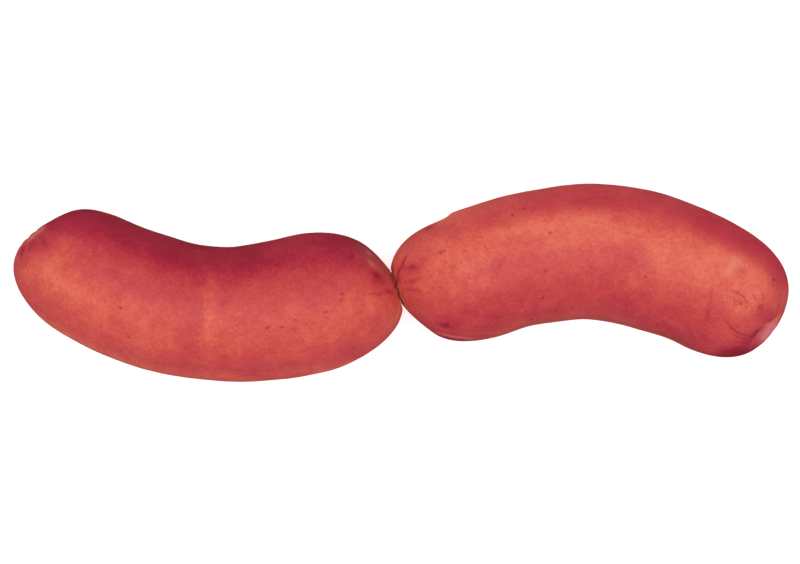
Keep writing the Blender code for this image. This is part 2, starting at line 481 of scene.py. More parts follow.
def seen(points):
    """Plan places of points in millimetres, as seen from straight above the string's middle."""
    scale = (EYE_HEIGHT - MIDDLE_HEIGHT) / (EYE_HEIGHT - points[..., 2])
    return points[..., :2] * scale[..., None] / MM


def stroke(plan, places_mm, width):
    """A line through places, of this width in mm: 1 on the line, 0 away from it, and tapered at its ends."""
    line = np.array(places_mm, float)
    steps = np.hypot(*np.diff(line, axis=0).T)
    nearest = np.full(plan.shape[:-1], np.inf)
    run = np.zeros(plan.shape[:-1])
    done = 0.0
    for a, b, step in zip(line[:-1], line[1:], steps):
        share = np.clip(((plan - a) @ (b - a)) / step**2, 0.0, 1.0)
        away = np.linalg.norm(plan - (a + share[..., None] * (b - a)), axis=-1)
        closer = away < nearest
        nearest = np.where(closer, away, nearest)
        run = np.where(closer, done + share * step, run)
        done += step
    ends = np.sin(math.pi * np.clip(run / done, TAPER_TIP, 1 - TAPER_TIP)) ** TAPER_POWER
    return np.exp(-((nearest / width) ** 2)) * ends


def spot(plan, middle, size, turn=0.0, sharpness=1.0):
    """A soft oval patch, 1 in its middle: size is its half lengths in mm and turn its heading in degrees."""
    c, s = math.cos(math.radians(turn)), math.sin(math.radians(turn))
    x, y = plan[..., 0] - middle[0], plan[..., 1] - middle[1]
    reach = np.hypot((x * c + y * s) / size[0], (y * c - x * s) / size[1])
    return np.exp(-(reach ** (2 * sharpness)))


# The right link's free end: the inner edge of its scar, and a star-shaped dimple near it
SCAR_RIM = [(114.2, -9.4), (111.9, -11.6), (109.9, -12.6), (107.9, -14.1), (107.0, -16.0), (106.6, -18.2)]
SCAR_DIMPLE = (108.0, -7.2)

# Creases: (places along the line, width in mm, depth in metres). A depth below zero stands up as a ridge.
LEFT_CREASES = [
    ([(-108.0, 14.1), (-107.2, 12.1), (-106.0, 10.4)], 0.42, 0.0001),
    ([(-111.5, 11.1), (-111.2, 9.1)], 0.40, 0.00009),
    ([(-113.3, 11.1), (-113.8, 9.2), (-113.9, 7.4)], 0.45, 0.00011),
    ([(-104.1, 17.6), (-102.2, 16.8), (-100.5, 15.5)], 0.40, 0.00009),
    ([(-104.8, 16.4), (-103.0, 15.5), (-101.2, 14.2)], 0.40, 0.000075),
    ([(-109.5, 15.9), (-107.0, 17.7), (-104.8, 19.0)], 0.45, 0.00008),
    ([(-9.4, 7.4), (-8.2, 5.9), (-7.6, 4.6)], 0.50, 0.00008),
    ([(-12.2, 9.2), (-10.2, 8.6), (-8.6, 7.9)], 0.50, 0.00007),
    ([(-6.4, 6.2), (-5.0, 4.2), (-4.2, 2.2)], 0.50, 0.0001),
    ([(-9.6, 1.2), (-6.8, 0.4), (-4.0, -0.4)], 0.55, 0.00006),
    ([(-10.2, -3.4), (-6.8, -3.4), (-3.4, -2.8)], 0.55, 0.00006),
]
RIGHT_CREASES = [
    ([(2.6, 9.1), (0.6, 6.3), (-0.7, 3.6), (-1.3, 0.9), (-1.5, -0.9)], 0.30, 0.00012),
    ([(5.2, 5.0), (3.2, 4.8), (1.0, 4.2)], 0.60, 0.000025),
    ([(7.4, 16.3), (8.4, 16.6), (9.4, 17.0)], 0.40, 0.00004),
    ([(6.0, 1.2), (3.6, 0.6), (1.0, -0.4)], 0.60, 0.00006),
    ([(6.4, -2.6), (4.0, -2.4), (1.4, -2.2)], 0.60, 0.00006),
    ([(10.2, -14.6), (14.5, -15.9), (19.0, -16.5), (23.1, -16.8)], 0.30, -0.00004),
    ([(99.4, -2.1), (101.0, -2.9), (102.3, -4.0)], 0.28, 0.00004),
    ([(101.9, -3.3), (103.3, -4.9), (104.2, -6.4)], 0.28, 0.00005),
    ([(100.6, -4.9), (101.6, -5.6), (102.4, -6.7)], 0.28, 0.00004),
    ([(105.3, -3.1), (106.1, -4.2), (106.9, -5.3)], 0.30, 0.00006),
    ([(108.7, -2.3), (108.8, -4.3), (108.7, -5.8)], 0.28, 0.00006),
    ([(96.6, -10.9), (99.3, -13.4), (101.8, -15.2), (105.2, -16.7)], 0.42, 0.0001),
    ([(98.6, -11.2), (101.0, -13.0), (102.9, -14.2)], 0.36, 0.00004),
    ([(99.6, -15.2), (102.2, -16.6), (104.6, -17.4)], 0.40, 0.00009),
    ([(100.2, -17.2), (102.2, -18.0), (104.2, -18.3)], 0.38, 0.00007),
    ([(103.9, -12.3), (105.0, -13.3), (106.4, -14.2)], 0.36, 0.00003),
    ([(90.5, -15.5), (91.3, -16.7), (92.5, -17.6)], 0.42, 0.00009),
    ([(93.0, -1.7), (92.6, -7.0), (91.5, -12.6)], 0.80, 0.00004),
    ([(109.2, -12.9), (107.2, -14.5), (105.8, -16.3), (104.8, -18.3), (103.8, -20.6)], 0.60, 0.00015),
]

# Dents: (middle, half lengths in mm, heading in degrees, depth in metres)
LEFT_DENTS = [
    ((-7.2, 2.3), (2.2, 1.0), -38, 0.00012),
    ((-14.9, 7.8), (1.3, 0.7), 40, 0.00008),
    ((-104.8, 17.4), (2.6, 1.5), -35, 0.00010),
    ((-3.7, -2.5), (1.2, 0.7), -30, 0.00006),
]
RIGHT_DENTS = [
    ((13.3, -12.8), (1.8, 0.8), -15, 0.00012),
    ((2.9, 4.5), (2.4, 1.2), 8, 0.00006),
    (SCAR_DIMPLE, (0.7, 0.7), 0, 0.00014),
    ((107.0, -3.0), (0.8, 0.8), 0, -0.00012),
]


def mark_depth(grid, normals, creases, dents):
    """Depth of a link's creases and dents at its points."""
    plan = seen(grid)
    wander = np.stack([noise(grid, WANDER_SIZE, seed) for seed in WANDER_SEEDS], axis=-1)
    depth = np.zeros(grid.shape[:2])
    for line, width, size in creases:
        depth += size * stroke(plan + WANDER * wander, line, width)
    for middle, half, turn, size in dents:
        depth += size * spot(plan, middle, half, turn)
    return depth * rise(normals[..., 2], TOP_FROM, TOP_TO)


def patches(plan, spots):
    """The sum of soft oval patches, each (share, middle, half lengths in mm, heading[, sharpness])."""
    return sum(share * spot(plan, *shape) for share, *shape in spots)


def streaks(plan, lines):
    """The sum of tapered streaks, each (share, places along the line, width in mm)."""
    return sum(share * stroke(plan, line, width) for share, line, width in lines)


# Smoke colour, with shade painted into some folds and at the right link's free end. A tone of 0 is the
# darkest crimson and 1 the palest orange.

# Blotches, and at the right link's free end painted shade and a painted shadow: (change of tone, middle,
# half lengths in mm, heading in degrees, and sharpness for a crisp one)
LEFT_BLOTCHES = [
    (-0.04, (-67.8, 10.4), (16.0, 3.4), 8),
    (0.14, (-104.6, 1.4), (6.0, 3.4), -28),
    (-0.04, (-110.5, 0.0), (3.0, 5.0), -40),
    (0.05, (-46.0, -17.0), (14.0, 4.0), -3),
    (-0.05, (-67.0, -6.0), (6.0, 9.0), -8),
    (-0.07, (-97.0, -10.5), (3.0, 2.4), -40),
    (0.08, (-59.1, 3.6), (3.0, 2.4), 0),
    (-0.06, (-19.5, -7.2), (3.0, 2.4), 0),
    (-0.10, (-8.4, -12.6), (3.0, 3.0), 0),
    (-0.10, (-10.5, 5.4), (3.0, 2.5), 0),
    (-0.12, (-100.0, 18.8), (5.0, 2.4), 0),
    (0.07, (-71.4, 6.0), (6.0, 3.0), -15),
    (0.06, (-84.0, 9.6), (6.0, 3.0), -20),
    (0.06, (-16.0, -5.0), (7.0, 6.0), 0),
    (0.06, (-106.0, 12.6), (2.6, 2.0), -40),
    (0.05, (-98.5, -2.4), (5.0, 3.0), -40),
    (0.04, (-90.9, -6.0), (5.0, 3.2), -25),
    (-0.10, (-4.5, -9.0), (3.5, 9.0), 8),
    (0.08, (-18.0, -8.0), (5.0, 4.0), 0),
    (-0.12, (-14.0, -19.5), (5.0, 3.5), 20),
    (-0.06, (-22.0, -20.2), (8.0, 2.5), 12),
    (0.10, (-8.0, -4.2), (3.4, 2.0), 0),
    (0.09, (-102.0, 7.6), (3.0, 3.0), 0),
    (-0.08, (-17.0, 5.0), (5.0, 3.0), 0),
    (0.08, (-7.0, 7.5), (3.0, 6.0), 45),
    (-0.10, (-7.2, 2.3), (2.4, 1.1), -38),
    (-0.12, (-14.9, 7.8), (1.4, 0.7), 40),
    (-0.15, (-3.7, -2.5), (1.4, 0.7), -30),
    (-0.13, (-107.0, 12.6), (4.0, 3.0), 45),
    (-0.30, (-104.8, 17.6), (2.6, 1.6), -30),
    (-0.12, (-101.0, 16.4), (5.0, 0.7), -33),
    (-0.22, (-112.6, 8.6), (1.8, 5.0), -25),
]
RIGHT_BLOTCHES_AND_SHADE = [
    (-0.10, (36.0, 6.5), (13.0, 4.5), 8),
    (-0.09, (67.5, 8.7), (6.0, 4.2), 0, 1.5),
    (-0.06, (29.1, 6.9), (3.0, 2.4), 0),
    (-0.08, (24.0, 19.5), (3.4, 2.2), -30),
    (-0.08, (13.3, -12.8), (2.0, 0.8), -15),
    (-0.20, (8.2, 16.4), (1.3, 0.7), 30),
    (0.03, (86.0, 3.0), (12.0, 5.0), -20),
    (-0.07, (88.0, 13.0), (7.0, 3.0), -22),
    (-0.06, (59.4, 8.4), (3.5, 3.0), 0),
    (-0.07, (9.8, 10.4), (3.0, 3.0), 0),
    (-0.07, (19.5, 20.4), (3.0, 2.0), 20),
    (-0.06, (7.5, 3.3), (2.6, 2.0), 0),
    (-0.06, (50.0, 7.4), (4.0, 2.6), 0),
    (0.07, (91.0, -6.9), (3.0, 2.6), 0),
    (0.07, (16.0, 15.0), (4.0, 2.4), 30),
    (0.07, (7.0, 14.6), (2.6, 2.0), 45),
    (0.10, (106.5, 6.0), (4.0, 4.0), 0),
    (-0.06, (31.8, 7.5), (3.0, 3.0), 0),
    # painted shade in the groove below the scar
    (-0.14, (104.6, -17.6), (2.6, 1.6), 45),
    (0.04, (74.0, 23.0), (10.0, 3.0), -15),
    (0.04, (6.0, -1.0), (6.0, 6.0), 0),
    (0.10, (101.5, -6.0), (5.5, 7.5), -20),
    (-0.14, (4.5, 6.0), (6.0, 6.0), 0),
    (0.08, (20.5, 16.8), (5.0, 2.4), 25),
    (-0.12, (70.4, 18.8), (6.0, 3.2), -15),
    (-0.08, (53.0, 12.0), (4.0, 6.0), 10),
    (0.07, (89.0, -7.2), (2.8, 4.0), 0),
    (0.06, (42.0, 18.5), (8.0, 4.0), 8),
    # painted shadow along the free end's lower edge
    (-0.50, (101.8, -20.8), (6.5, 2.0), 8),
    (-0.06, SCAR_DIMPLE, (0.8, 0.8), 0),
    # painted shade in the groove below the scar
    (-0.16, (104.4, -18.0), (2.2, 1.6), 45),
    (-0.14, (108.6, -9.9), (3.6, 2.6), 20),
    (0.14, (115.0, 2.0), (1.2, 9.0), 8),
    (-0.07, (112.6, 0.0), (3.0, 8.0), 8),
]


def left_tone(surface, plan):
    """Tone of the left link: an orange middle, a crimson band along +Y, its blotches, and painted shade down
    a crease at its free end.
    """
    across, x, y = surface.across, plan[..., 0], plan[..., 1]
    tone = 0.82 - 0.15 * rise(across, -0.25, 0.25) - 0.42 * rise(across, 0.25, 0.85)
    tone += 0.02 * rise(across, 0.85, 1.0) - 0.12 * rise(-across, 0.45, 0.90)
    tone += rise(-across, 0.80, 1.0) * (0.15 + 0.10 * fade(x, -70.0, -40.0))
    tone -= 0.08 * rise(-across, 0.0, 0.3) * rise(x, -82.0, -60.0) * fade(x, -40.0, -16.0)
    tone += 0.15 * rise(across, 0.62, 0.90) * rise(x, -48.0, -38.0) * fade(x, -30.0, -18.0)
    tone += 0.06 * spot(plan, (-54.0, -12.0), (6.0, 5.0), 0) * rise(x, -60.2, -58.2)
    tone += 0.14 * stroke(plan, [(-55.5, 7.0), (-57.5, -7.0), (-59.8, -25.0)], 2.4)
    tone -= 0.05 * rise(x, -66.0, -59.8) * fade(x, -59.6, -58.6) * rise(-y, 2.0, 6.0)
    tone += 0.08 * rise(x, -9.0, -2.0)
    # painted shade down a crease at the free end
    tone -= 0.16 * stroke(plan, [(-107.8, 14.1), (-106.9, 12.2), (-105.8, 10.2)], 0.5)
    return tone + patches(plan, LEFT_BLOTCHES)


def right_tone(surface, plan):
    """Tone of the right link: an orange streak above its middle, crimson along its sides and its end, and
    painted shade along a fold and in the groove inside its scar's rim.
    """
    across, x, y = surface.across, plan[..., 0], plan[..., 1]
    tone = 0.92 - 0.32 * rise(across, 0.42, 0.82) + 0.06 * rise(across, 0.82, 1.0)
    tone += 0.10 * rise(across, 0.62, 0.90) * fade(x, 60.0, 92.0)
    tone += 0.12 * rise(across, 0.60, 0.90) * fade(x, 20.0, 34.0)
    tone -= 0.44 * np.clip((0.2 - across) / 1.2, 0.0, 1.0)
    tone -= 0.05 * rise(y, 20.6, 22.6) * rise(x, 50.0, 57.0) * fade(x, 70.0, 82.0)
    tone -= 0.16 * stroke(plan, [(9.0, -15.6), (14.5, -17.0), (19.0, -17.6), (24.0, -17.8)], 0.8)
    # painted shade along a faint fold
    tone -= 0.06 * stroke(plan, [(93.2, 0.0), (92.6, -7.0), (91.0, -14.6)], 1.3)
    tone -= 0.14 * rise(x - 0.45 * y, 108.0, 119.0)
    tone += 0.22 * rise(-across, 0.80, 1.0) * rise(x, 12.0, 26.0) * fade(x, 50.0, 95.0)
    # painted shade in the groove inside the scar's rim
    tone -= 0.26 * stroke(plan, [(107.8, -13.9), (105.6, -16.6), (104.2, -18.8), (103.4, -20.4)], 1.3)
    tone += 0.45 * stroke(plan, SCAR_RIM, 0.5)
    return tone + patches(plan, RIGHT_BLOTCHES_AND_SHADE)


# Mottling: (change of tone, size in metres) of each layer
UNDERSIDE_TONE = 0.50
UNDERSIDE_MOTTLING = [(0.16, 0.014), (0.10, 0.006)]
MOTTLING = [(0.055, 0.0085), (0.060, 0.0040), (0.050, 0.0017)]
UNDER_FROM, UNDER_TO = -0.25, 0.10  # how far a normal points up where the top's tone takes over


def mottled(points, layers, seed):
    """The sum of layers of noise, each with a seed of its own from this one on."""
    return sum(change * noise(points, size, seed + k) for k, (change, size) in enumerate(layers))


def casing_tone(surface, plan, top_tone, seed):
    """Tone of the whole casing: the top's own marks, which blend into an evenly mottled underside."""
    top = rise(surface.up, UNDER_FROM, UNDER_TO)
    under = UNDERSIDE_TONE + mottled(surface.points, UNDERSIDE_MOTTLING, seed)
    tone = top * top_tone(surface, plan) + (1 - top) * under
    tone += mottled(surface.points, MOTTLING, seed + len(UNDERSIDE_MOTTLING))
    return np.clip(tone, 0.0, 1.0)


# Dark specks where fat or pepper shows through the casing: (place, radius in mm)
LEFT_SPECKS = [
    ((-37.5, 5.4), 0.45),
    ((-17.7, -3.3), 0.42),
    ((-18.0, -5.1), 0.36),
    ((-22.5, -8.7), 0.40),
    ((-31.5, -11.1), 0.36),
    ((-40.2, -13.5), 0.42),
    ((-35.7, -13.2), 0.34),
    ((-84.0, -7.5), 0.40),
]
RIGHT_SPECKS = [
    ((11.8, 9.2), 0.44),
    ((12.95, 9.6), 0.36),
    ((44.7, 15.0), 0.45),
    ((43.2, 3.6), 0.40),
    ((42.6, -4.5), 0.45),
    ((39.0, -10.8), 0.40),
    ((33.3, 20.4), 0.40),
    ((36.9, 22.2), 0.36),
    ((111.8, 1.0), 0.46),
    ((73.2, 1.8), 0.42),
    ((57.2, 4.6), 0.34),
]

# Painted shade: the casing is darkened to a deep crimson down in its creases, pleats and dents
FOLD_SHADE_TONE = 0.12
FOLD_SHADE_SHARE = 0.8
FOLD_SHADE_FULL = 0.0006  # depth of fold with the full share

# Painted highlight: beside a crease the casing is painted pale, as its lit lip would look: the share for
# each metre of depth, its shift in mm and its width
CREASE_HIGHLIGHT_SHARE = 800
CREASE_HIGHLIGHT_SHIFT = (-0.30, 0.34)
CREASE_HIGHLIGHT_WIDTH = 0.8  # of the crease's

# Fine wrinkles, drawn out along one heading: their length and spacing
WRINKLE_SIZE = (0.0028, 0.0008)
WRINKLE_TURN = -51.0
WRINKLE_LINE = 0.04  # share of the noise's range that a line takes on either side
WRINKLE_SHADE = 0.25  # how much a line darkens the tone

# Specks: how dark and how crisp the named ones are, and what the strewn ones are drawn from
NAMED_DARKNESS = 0.95
NAMED_SHARPNESS = 1.3
STREWN_SPECKS = 260
STREWN_RADIUS = (0.00016, 0.00034)
STREWN_DARKNESS = (0.15, 0.6)
STREWN_REACH = 8  # places round a strewn speck that it can darken


def specks(surface, plan, named, seed):
    """Depth of colour of the dark specks: the named ones on top, and small ones strewn all over."""
    top = rise(surface.up, TOP_FROM, TOP_TO)
    dark = np.zeros(surface.up.shape)
    for middle, radius in named:
        disc = spot(plan, middle, (radius, radius), 0, NAMED_SHARPNESS)
        dark = np.maximum(dark, NAMED_DARKNESS * top * disc)
    draw = random.Random(seed)
    rings, round_ring = surface.up.shape
    for _ in range(STREWN_SPECKS):
        i, j = draw.randrange(STREWN_REACH, rings - STREWN_REACH), draw.randrange(round_ring)
        radius, share = draw.uniform(*STREWN_RADIUS), draw.uniform(*STREWN_DARKNESS)
        reach = np.arange(-STREWN_REACH, STREWN_REACH + 1)
        near = np.ix_(i + reach, (j + reach) % round_ring)
        away = np.linalg.norm(surface.points[near] - surface.points[i, j], axis=-1)
        dark[near] = np.maximum(dark[near], share * np.exp(-((away / radius) ** 2)))
    return dark


# Pale scars and streaks, and painted light: painted highlights on stretched patches, a painted rim light and
# painted reflections along edges, as streaks() and patches() read them
LEFT_PALE_AND_REFLECTION_STREAKS = [
    (0.55, [(-112.9, 12.0), (-109.9, 14.6), (-106.7, 17.0)], 0.70),
    (0.30, [(-9.9, 7.0), (-8.8, 5.7), (-7.9, 4.6)], 0.6),
    (0.25, [(-10.5, 9.7), (-9.4, 8.9), (-8.6, 8.1)], 0.5),
    # painted reflection: a pale rim on the edge against the twist
    (0.35, [(-0.6, -5.0), (-0.4, -7.6), (-1.0, -9.8), (-2.3, -12.6)], 0.35),
]
RIGHT_PALE_AND_PAINTED_LIGHT_STREAKS = [
    (0.12, SCAR_RIM, 0.4),
    # partly stretched casing, partly painted highlight
    (0.16, [(91.0, 8.2), (91.5, 6.2), (91.9, 4.4)], 0.7),
    # painted rim light along the lower edge
    (0.45, [(10.2, -14.6), (14.5, -15.9), (19.0, -16.5), (23.1, -16.8)], 0.26),
    # painted reflection: a pale rim on the edge against the twist
    (0.50, [(-0.9, -0.1), (-0.5, -2.1), (0.1, -4.4), (0.8, -5.9), (2.0, -7.8)], 0.3),
]
RIGHT_PALE_AND_HIGHLIGHT_PATCHES = [
    # partly stretched casing, partly painted highlight
    (0.40, (100.3, 6.3), (2.6, 2.0), -40, 1.5),
    (0.30, (98.4, 3.6), (1.6, 2.2), -20, 1.3),
    (0.16, (96.0, 7.0), (1.8, 0.9), 10, 1.3),
    (0.45, SCAR_DIMPLE, (0.3, 0.3), 0),
    # painted highlight: a small glint
    (0.40, (107.0, -3.0), (0.8, 0.8), 0),
]


def left_pale_and_reflection(plan):
    """Where the left link is pale: the scar on its free end, streaks at the twist, and a painted reflection
    on the rim against it.
    """
    return streaks(plan, LEFT_PALE_AND_REFLECTION_STREAKS)


def right_pale_and_painted_light(plan):
    """Where the right link is pale: the scar on its free end, painted highlights on the stretched patches
    near it, a painted rim light along its -Y side and a painted reflection on its edge at the twist.
    """
    return streaks(plan, RIGHT_PALE_AND_PAINTED_LIGHT_STREAKS) + patches(plan, RIGHT_PALE_AND_HIGHLIGHT_PATCHES)


def left_brown_and_reflection(surface, plan):
    """Where smoke has browned the left link: a band at the twist; along its edges the brown is a painted
    reflection.
    """
    band = stroke(plan, [(-14.5, 13.5), (-9.0, 8.8), (-4.6, 3.6), (-1.6, -0.8)], 1.7)
    # painted reflection: browner towards the edges, where the casing is seen at a grazing angle
    edge = rise(surface.across, 0.94, 1.0) * rise(plan[..., 0], -104.0, -84.0)
    edge += rise(-surface.across, 0.94, 1.0)
    return 0.48 * band + 0.3 * edge


def right_edge_reflection(surface, plan):
    """Painted reflection: brown along the right link's grazing edges."""
    return 0.12 * rise(surface.across, 0.93, 1.0) + 0.45 * rise(-surface.across, 0.88, 1.0)


# Patches of purer crimson, some of it painted shade, of bare pink and of fine wrinkles, as patches() reads
# them
LEFT_CRIMSON_PATCHES = [
    (0.50, (-101.0, 18.2), (7.0, 3.0), 0),
    (0.45, (-104.8, 17.4), (3.0, 1.8), -30),
    (0.40, (-107.0, 12.6), (4.0, 3.0), 45),
    (0.30, (-112.0, 8.0), (2.0, 4.0), -25),
]
RIGHT_CRIMSON_AND_SHADE_PATCHES = [
    # painted shade in the groove below the scar
    (0.85, (104.6, -17.8), (3.4, 2.4), 30),
    (0.35, (108.6, -9.9), (3.6, 2.6), 20),
]
PINK_PATCHES = [
    (0.90, (110.6, -14.4), (3.8, 1.5), 45, 2.5),
    (0.18, (107.4, -17.6), (2.2, 1.2), 45),
]
WRINKLED_PATCHES = [
    (1.0, (102.0, -5.8), (4.8, 2.6), WRINKLE_TURN, 1.5),
    (0.4, (107.6, -6.0), (3.0, 3.0), 0),
    (0.4, (101.0, -15.0), (5.0, 2.4), -35),
    (0.4, (-109.0, 11.0), (4.0, 3.0), -50),
]


def left_crimson(surface, plan):
    """Where the left link is a purer crimson: along its +Y side and at its scar."""
    return 0.12 * rise(surface.across, 0.45, 0.75) + patches(plan, LEFT_CRIMSON_PATCHES)


def right_crimson_and_shade(surface, plan):
    """Where the right link is a purer crimson: along its +Y side and at its free end, and painted shade in
    the groove round its scar.
    """
    x = plan[..., 0]
    side = rise(surface.across, 0.50, 0.80) * (0.24 * rise(x, 28.0, 44.0) + 0.36 * rise(x, 82.0, 96.0))
    return side + patches(plan, RIGHT_CRIMSON_AND_SHADE_PATCHES)


def crease_highlights(plan, creases):
    """Painted highlight: where the casing is painted pale beside a crease, as if its lip caught the light.
    """
    pale = np.zeros(plan.shape[:-1])
    for line, width, size in creases:
        pale += CREASE_HIGHLIGHT_SHARE * abs(size) * stroke(plan + CREASE_HIGHLIGHT_SHIFT, line, CREASE_HIGHLIGHT_WIDTH * width)
    return pale


# Objects


def closed_mesh(name, grid, colours):
    """A closed mesh over a grid of rings, with the named values in colours at its points."""
    rings, round_ring = grid.shape[:2]
    ends = [grid[0].mean(axis=0), grid[-1].mean(axis=0)]
    points = np.concatenate([ends[:1], grid[1:-1].reshape(-1, 3), ends[1:]])
    last = len(points) - 1
    j = np.arange(round_ring)
    after = (j + 1) % round_ring
    row = 1 + round_ring * np.arange(rings - 3)[:, None]
    quads = np.stack([row + j, row + after, row + round_ring + after, row + round_ring + j], axis=-1)
    top = 1 + (rings - 3) * round_ring
    faces = [(0, 1 + b, 1 + a) for a, b in zip(j.tolist(), after.tolist())]
    faces += quads.reshape(-1, 4).tolist()
    faces += [(last, top + a, top + b) for a, b in zip(j.tolist(), after.tolist())]
    mesh = bpy.data.meshes.new(name)
    mesh.from_pydata(points.tolist(), [], faces)
    mesh.shade_smooth()
    for label, values in colours.items():
        flat = np.concatenate([[values[0].mean()], values[1:-1].ravel(), [values[-1].mean()]])
        layer = mesh.attributes.new(label, "FLOAT", "POINT")
        layer.data.foreach_set("value", flat.astype(np.float32))
    return mesh


def add_piece(name, mesh, material):
    """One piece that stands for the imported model's node of the same name."""
    mesh.materials.append(material)
    piece = bpy.data.objects.new(name + "_skin", mesh)
    bpy.context.scene.collection.objects.link(piece)
    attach(piece, "root")
    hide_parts(name)
    return piece


class Nodes:
    """Adds and joins the nodes of one material."""

    def __init__(self, name):
        self.material = bpy.data.materials.new(name)
        self.material.use_nodes = True
        self.tree = self.material.node_tree
        self.surface = self.tree.nodes["Principled BSDF"]

    def add(self, kind, **settings):
        """A new node of this kind."""
        node = self.tree.nodes.new(kind)
        for key, value in settings.items():
            setattr(node, key, value)
        return node

    def link(self, value, socket):
        """Joins an output to a socket, or sets the socket where value is a number."""
        if isinstance(value, bpy.types.NodeSocket):
            self.tree.links.new(value, socket)
        else:
            socket.default_value = value

    def attribute(self, name):
        """A value held at the mesh's points."""
        return self.add("ShaderNodeAttribute", attribute_name=name).outputs["Fac"]

    def maths(self, operation, a, b=0.0, clamp=False):
        """An operation on one or two values."""
        node = self.add("ShaderNodeMath", operation=operation, use_clamp=clamp)
        self.link(a, node.inputs[0])
        self.link(b, node.inputs[1])
        return node.outputs[0]

    def mix(self, share, a, b):
        """A colour that goes from a to b as share goes from 0 to 1."""
        node = self.add("ShaderNodeMix", data_type="RGBA")
        self.link(share, node.inputs["Factor"])
        self.link(a, node.inputs["A"])
        self.link(b, node.inputs["B"])
        return node.outputs["Result"]

    def noise(self, place, size, detail=2.0):
        """Noise from 0 to 1 with features of this size in metres."""
        node = self.add("ShaderNodeTexNoise")
        self.link(place, node.inputs["Vector"])
        self.link(1 / size, node.inputs["Scale"])
        self.link(detail, node.inputs["Detail"])
        return node.outputs["Fac"]

    def lines(self, place, turn, size, width):
        """Thin lines, 1 in their middle, drawn out along a heading."""
        node = self.add("ShaderNodeMapping", vector_type="TEXTURE")
        self.link(place, node.inputs["Vector"])
        node.inputs["Rotation"].default_value = (0.0, 0.0, math.radians(turn))
        node.inputs["Scale"].default_value = (size[0], size[1], size[1])
        level = self.noise(node.outputs["Vector"], 1.0, 1.0)
        away = self.maths("ABSOLUTE", self.maths("SUBTRACT", level, 0.5))
        return self.maths("SUBTRACT", 1.0, self.maths("DIVIDE", away, width), clamp=True)

    def ramp(self, value, stops):
        """A colour ramp over (position, colour) stops."""
        node = self.add("ShaderNodeValToRGB")
        self.link(value, node.inputs["Fac"])
        band = node.color_ramp.elements
        while len(band) < len(stops):
            band.new(0.5)
        for element, (position, colour) in zip(band, stops):
            element.position = position
            element.color = (*colour, 1.0)
        return node.outputs["Color"]


# Casing colours from the darkest crimson to the palest orange, as linear reflectances
CASING_TONES = [
    (0.00, (0.150, 0.005, 0.020)),
    (0.15, (0.237, 0.007, 0.023)),
    (0.30, (0.297, 0.010, 0.029)),
    (0.45, (0.388, 0.022, 0.040)),
    (0.60, (0.466, 0.042, 0.049)),
    (0.75, (0.540, 0.065, 0.058)),
    (0.87, (0.607, 0.097, 0.067)),
    (1.00, (0.680, 0.143, 0.093)),
]
# Brown of the smoke band at the left link's twist, also the colour of the painted reflection along the
# links' edges
BROWN_AND_REFLECTION = (0.26, 0.075, 0.042)
# Pale of scars and of the twist, also the colour of painted highlights, rim light and reflections
PALE_AND_PAINTED_LIGHT = (0.73, 0.24, 0.18)
PINK = (0.68, 0.17, 0.20)
# Crimson of the casing, also the colour of the painted shade round the right link's scar
CRIMSON_AND_SHADE = (0.42, 0.012, 0.044)
MAROON = (0.24, 0.012, 0.030)

# Mottling finer than the points can hold: (size in metres, change of tone)
FINE_SIZE, FINE_CHANGE = 0.0011, 0.24
FINER_SIZE, FINER_CHANGE = 0.00045, 0.27
FINER_GRAIN = 0.5  # height of its grain beside the fine one's

# Pores: each stands in a cell of this size, and some cells have none
PORE_CELL = 0.0017
PORE_RADIUS = 0.13  # share of the cell
PORE_RARITY = 0.5  # share of the cells without one
PORE_DARKNESS = 0.7

# Skin: the height of its grain, its gloss, and how light spreads in the meat below it
GRAIN_HEIGHT = 0.00006
LINK_ROUGHNESS = 0.46
TWIST_ROUGHNESS = 0.5
TWIST_PINK = 0.3  # share of bare pink in the twist's pale casing
GLOSS = 0.15  # specular level
MEAT_SHARE = 0.12
MEAT_RADIUS = (1.0, 0.35, 0.25)
MEAT_DEPTH = 0.0015


def pores(make, place):
    """Darkness of the pores: a soft dot in the middle of some cells, each as dark as its cell's draw."""
    cells = make.add("ShaderNodeTexVoronoi", feature="F1")
    make.link(place, cells.inputs["Vector"])
    make.link(1 / PORE_CELL, cells.inputs["Scale"])
    draw = make.add("ShaderNodeSeparateColor")
    make.link(cells.outputs["Color"], draw.inputs["Color"])
    there = make.maths("GREATER_THAN", draw.outputs["Red"], PORE_RARITY)
    away = make.maths("DIVIDE", cells.outputs["Distance"], PORE_RADIUS)
    dot = make.maths("SUBTRACT", 1.0, away, clamp=True)
    return make.maths("MULTIPLY", make.maths("MULTIPLY", there, dot), draw.outputs["Green"])


